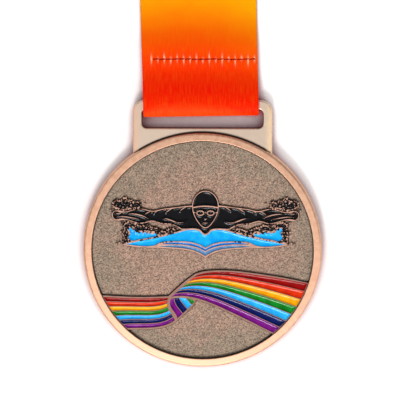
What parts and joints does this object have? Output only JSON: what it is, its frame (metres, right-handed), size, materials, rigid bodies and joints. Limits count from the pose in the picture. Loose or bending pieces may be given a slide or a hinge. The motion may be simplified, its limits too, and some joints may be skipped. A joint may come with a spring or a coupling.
{
  "type": "sports finisher medal",
  "caption": "Round die-cast medal with a hanger tab, raised rim, enamelled butterfly swimmer over water and a striped band, on a sewn satin neck ribbon that swings on the tab's bar.",
  "frame": {"origin": "centre of the disc's flat back face", "axes": "+Z out of the medal's face, +Y from the disc's centre towards the hanger tab and along the ribbon, +X to the right of the artwork"},
  "size_m": [0.065, 0.1889, 0.008],
  "materials": {
    "antique_copper": "die-cast zinc plated antique copper: satin rim, sandblasted dark field, polished raised lines",
    "black_enamel": "glossy soft enamel fill",
    "water_enamel": "glossy soft enamel fill",
    "wave_enamel": "glossy soft enamel fill",
    "swell_enamel": "glossy soft enamel fill",
    "red_enamel": "glossy soft enamel fill",
    "orange_enamel": "glossy soft enamel fill",
    "yellow_enamel": "glossy soft enamel fill",
    "green_enamel": "glossy soft enamel fill",
    "sky_enamel": "glossy soft enamel fill",
    "navy_enamel": "glossy soft enamel fill",
    "purple_enamel": "glossy soft enamel fill",
    "ribbon_satin": "polyester satin, dyed from red at the medal to golden yellow",
    "red_thread": "polyester sewing thread"
  },
  "bodies": {
    "medal": {"medal_casting": "antique_copper", "enamel_face": "black_enamel", "enamel_goggle_lenses": "black_enamel", "enamel_green_fold": "green_enamel", "enamel_green_left": "green_enamel", "enamel_green_right": "green_enamel", "enamel_hand_spray_left": "black_enamel", "enamel_hand_spray_right": "black_enamel", "enamel_navy_fold": "navy_enamel", "enamel_navy_left": "navy_enamel", "enamel_navy_right": "navy_enamel", "enamel_orange_left": "orange_enamel", "enamel_orange_right": "orange_enamel", "enamel_purple_fold": "purple_enamel", "enamel_purple_left": "purple_enamel", "enamel_purple_right": "purple_enamel", "enamel_red_left": "red_enamel", "enamel_red_right": "red_enamel", "enamel_sky_fold": "sky_enamel", "enamel_sky_left": "sky_enamel", "enamel_sky_right": "sky_enamel", "enamel_splash_left": "water_enamel", "enamel_splash_right": "water_enamel", "enamel_spray_left": "black_enamel", "enamel_spray_right": "black_enamel", "enamel_swell": "swell_enamel", "enamel_swim_cap": "black_enamel", "enamel_swimmer_body": "black_enamel", "enamel_water": "water_enamel", "enamel_wave": "wave_enamel", "enamel_yellow_left": "yellow_enamel", "enamel_yellow_right": "yellow_enamel"},
    "ribbon": {"neck_ribbon": "ribbon_satin", "needle_thread": "red_thread", "bobbin_thread": "red_thread"}
  },
  "joints": [
    {"name": "ribbon_swing", "type": "hinge", "parent": "medal", "child": "ribbon", "pos_m": [0, 0.0399, 0.002], "axis": [1, 0, 0], "range_deg": [-140, 140]}
  ]
}
